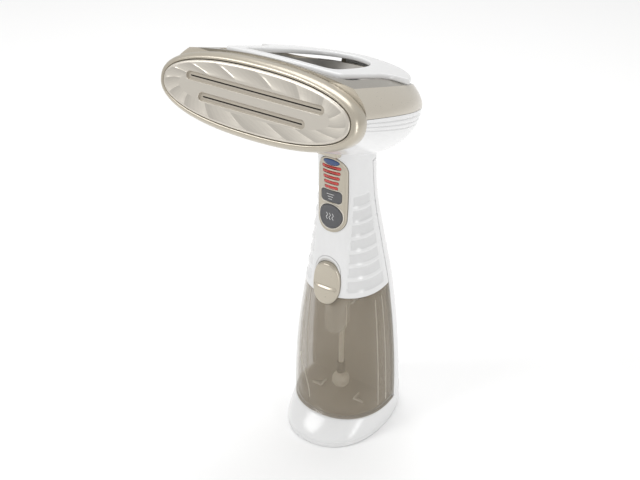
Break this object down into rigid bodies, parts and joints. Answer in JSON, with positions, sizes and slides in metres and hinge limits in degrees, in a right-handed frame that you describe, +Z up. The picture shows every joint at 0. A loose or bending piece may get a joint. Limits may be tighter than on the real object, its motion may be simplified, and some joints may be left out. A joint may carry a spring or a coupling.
{
  "type": "handheld garment steamer",
  "caption": "Upright handheld garment steamer: tilted head with slotted steam plate and flip-up hanging loop, buttoned grip, removable translucent water tank on an oval base.",
  "frame": {"origin": "middle of the base's underside, on the surface it stands on", "axes": "+Z up the handle, -Y the way the steam plate faces, +X to the right when looking at its back from the plate side along +Y"},
  "size_m": [0.144, 0.1742, 0.3363],
  "materials": {
    "white_shell": "glossy white moulding",
    "champagne": "satin pearl champagne paint",
    "plate_metal": "satin, faintly pink ceramic coat",
    "grey_button": "satin grey moulding",
    "light_grey": "matte light grey",
    "black_plastic": "matte black",
    "smoke_tank": "clear smoky polycarbonate",
    "clear_plastic": "clear",
    "red_lens": "lit red lens",
    "blue_lens": "blue lens",
    "rubber": "matte black rubber",
    "silicone": "soft beige silicone",
    "aluminium": "cast",
    "steel": "bright steel",
    "brass": "copper winding and brass",
    "board": "green solder mask"
  },
  "bodies": {
    "body": {"head_upper_shell": "champagne", "top_tray": "champagne", "top_louvre": "black_plastic", "steam_plate": "plate_metal", "bezel_ring": "champagne", "steam_chamber": "aluminium", "chamber_gasket": "silicone", "heating_element": "steel", "thermostat": "brass", "thermal_fuse": "light_grey", "loop_pin": "steel", "loop_catch": "grey_button", "body_shell": "white_shell", "attachment_catch": "champagne", "rear_cover": "white_shell", "tank_back_wall": "white_shell", "control_panel": "champagne", "ready_lens": "blue_lens", "control_board": "board", "steam_switch": "black_plastic", "setting_switch": "black_plastic", "release_spring": "steel", "base_shell": "white_shell", "base_plate": "white_shell", "cord_gland": "black_plastic", "terminal_block": "black_plastic", "pump": "light_grey", "pump_coil": "brass", "pump_inlet_tube": "silicone", "chamber_feed_tube": "silicone", "led_bar_1": "red_lens", "led_bar_2": "red_lens", "led_bar_3": "red_lens", "led_bar_4": "red_lens", "led_bar_5": "red_lens", "rubber_foot_1": "rubber", "base_screw_1": "steel", "rubber_foot_2": "rubber", "base_screw_2": "steel", "rubber_foot_3": "rubber", "base_screw_3": "steel", "rubber_foot_4": "rubber", "base_screw_4": "steel"},
    "loop": {"hang_loop": "white_shell"},
    "steam_key": {"steam_button": "grey_button"},
    "setting_key": {"setting_button": "grey_button"},
    "release_key": {"release_button": "champagne"},
    "tank": {"tank_shell": "smoke_tank", "filler_cap": "silicone", "tank_valve": "light_grey", "outlet_elbow": "clear_plastic"},
    "pickup": {"suction_tube": "silicone", "filter_sleeve": "black_plastic", "weighted_filter": "silicone"}
  },
  "joints": [
    {"name": "loop_flip", "type": "hinge", "parent": "body", "child": "loop", "pos_m": [0, 0.01333, 0.29566], "axis": [-1, 0, 0], "range_deg": [0, 100]},
    {"name": "steam_press", "type": "slide", "parent": "body", "child": "steam_key", "axis": [0, 1, 0], "range_m": [0, 0.001], "stiffness_N_per_m": 400, "springref_m": -0.002},
    {"name": "setting_press", "type": "slide", "parent": "body", "child": "setting_key", "axis": [0, 1, 0], "range_m": [0, 0.0008], "stiffness_N_per_m": 400, "springref_m": -0.002},
    {"name": "tank_pull", "type": "slide", "parent": "body", "child": "tank", "axis": [0, -1, 0], "range_m": [0, 0.11]},
    {"name": "release_press", "type": "slide", "parent": "tank", "child": "release_key", "axis": [0, 1, 0], "range_m": [0, 0.0025], "stiffness_N_per_m": 500, "springref_m": -0.004},
    {"name": "pickup_swing", "type": "hinge", "parent": "tank", "child": "pickup", "pos_m": [0, -0.0065, 0.0875], "axis": [1, 0, 0], "range_deg": [-5, 5]}
  ]
}
